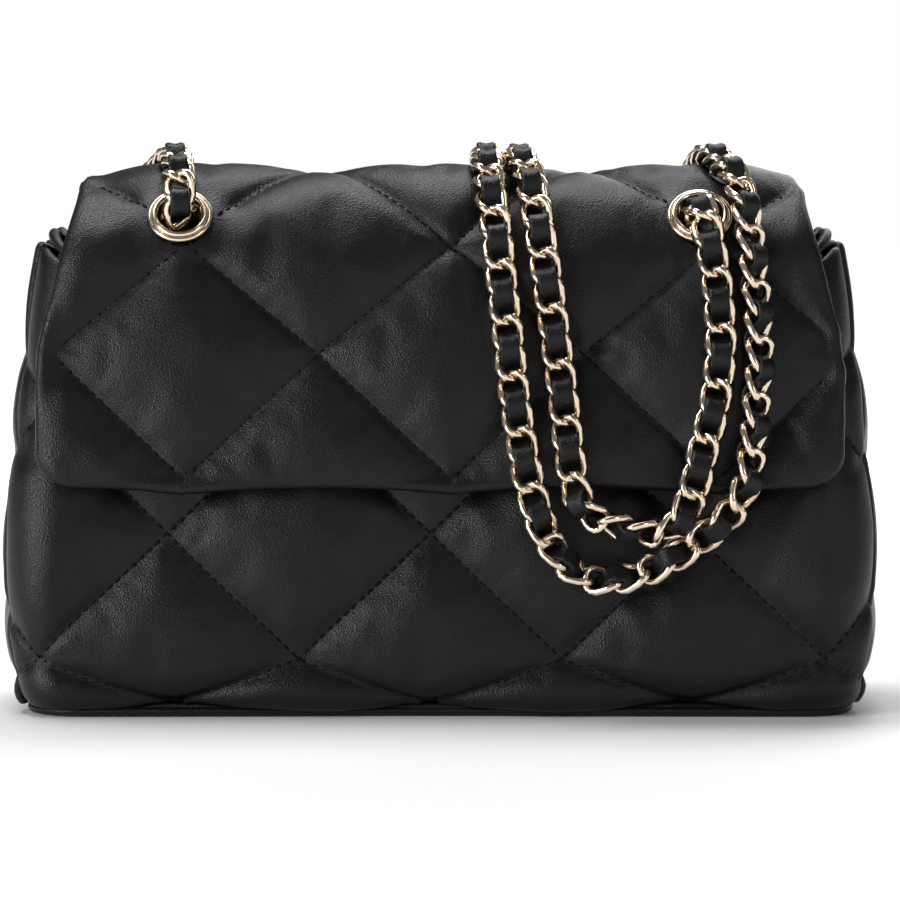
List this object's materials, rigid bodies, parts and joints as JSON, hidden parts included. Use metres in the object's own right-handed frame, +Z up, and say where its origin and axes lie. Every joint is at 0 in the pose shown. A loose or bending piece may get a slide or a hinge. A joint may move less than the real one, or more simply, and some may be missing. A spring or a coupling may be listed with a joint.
{
  "type": "quilted flap shoulder bag",
  "caption": "Soft quilted flap bag with padded panels, a magnetic snap under the flap, inner pockets, and a leather-laced curb chain strap threaded through eyelets.",
  "frame": {"origin": "on the ground under the middle of the bag", "axes": "+X to the right of someone who looks at the front, -Y out of the front, +Z up"},
  "size_m": [0.27, 0.109, 0.1807],
  "materials": {
    "quilted_leather": "black grained leather, padded and quilted in diamonds, satin",
    "plain_leather": "black grained leather, flat, satin",
    "lining_cloth": "black woven lining, matte",
    "zip_tape": "black woven zip tape, matte",
    "base_board": "stiff board, matte",
    "pale_gold": "light gold plate, polished",
    "laced_chain": "light gold curb chain with a black leather lace woven through it"
  },
  "bodies": {
    "bag": {"front_panel": "quilted_leather", "gusset_right": "quilted_leather", "back_panel": "quilted_leather", "gusset_left": "quilted_leather", "foot_piping": "plain_leather", "base_panel": "plain_leather", "base_board": "base_board", "lining": "lining_cloth", "mouth_binding": "plain_leather", "snap_socket": "pale_gold", "zip_pocket": "lining_cloth", "zip_tape_upper": "zip_tape", "zip_tape_lower": "zip_tape", "zip_teeth_upper": "pale_gold", "zip_teeth_lower": "pale_gold", "slip_pocket": "lining_cloth", "strap_back_outer": "laced_chain", "strap_back_inner": "laced_chain"},
    "flap_body": {"flap": "quilted_leather", "flap_lining": "lining_cloth", "eyelet_front_left": "pale_gold", "eyelet_washer_front_left": "pale_gold", "eyelet_front_right": "pale_gold", "eyelet_washer_front_right": "pale_gold", "eyelet_back_left": "pale_gold", "eyelet_washer_back_left": "pale_gold", "eyelet_back_right": "pale_gold", "eyelet_washer_back_right": "pale_gold", "snap_stud": "pale_gold", "strap_left_loop": "laced_chain", "strap_front_inner": "laced_chain", "strap_front_outer": "laced_chain"},
    "slider": {"zip_slider": "pale_gold"},
    "pull": {"zip_pull": "pale_gold"}
  },
  "joints": [
    {"name": "flap_hinge", "type": "hinge", "parent": "bag", "child": "flap_body", "pos_m": [0, 0.03574, 0.143], "axis": [-1, 0, 0], "range_deg": [0, 120], "deforming": ["strap_left_loop", "strap_front_inner", "strap_front_outer", "strap_back_outer", "strap_back_inner"]},
    {"name": "zip_slide", "type": "slide", "parent": "bag", "child": "slider", "axis": [-1, 0, 0], "range_m": [0, 0.1263]},
    {"name": "zip_pull_swing", "type": "hinge", "parent": "slider", "child": "pull", "pos_m": [0.06375, 0.02152, 0.11015], "axis": [-1, 0, 0], "range_deg": [0, 150]}
  ]
}
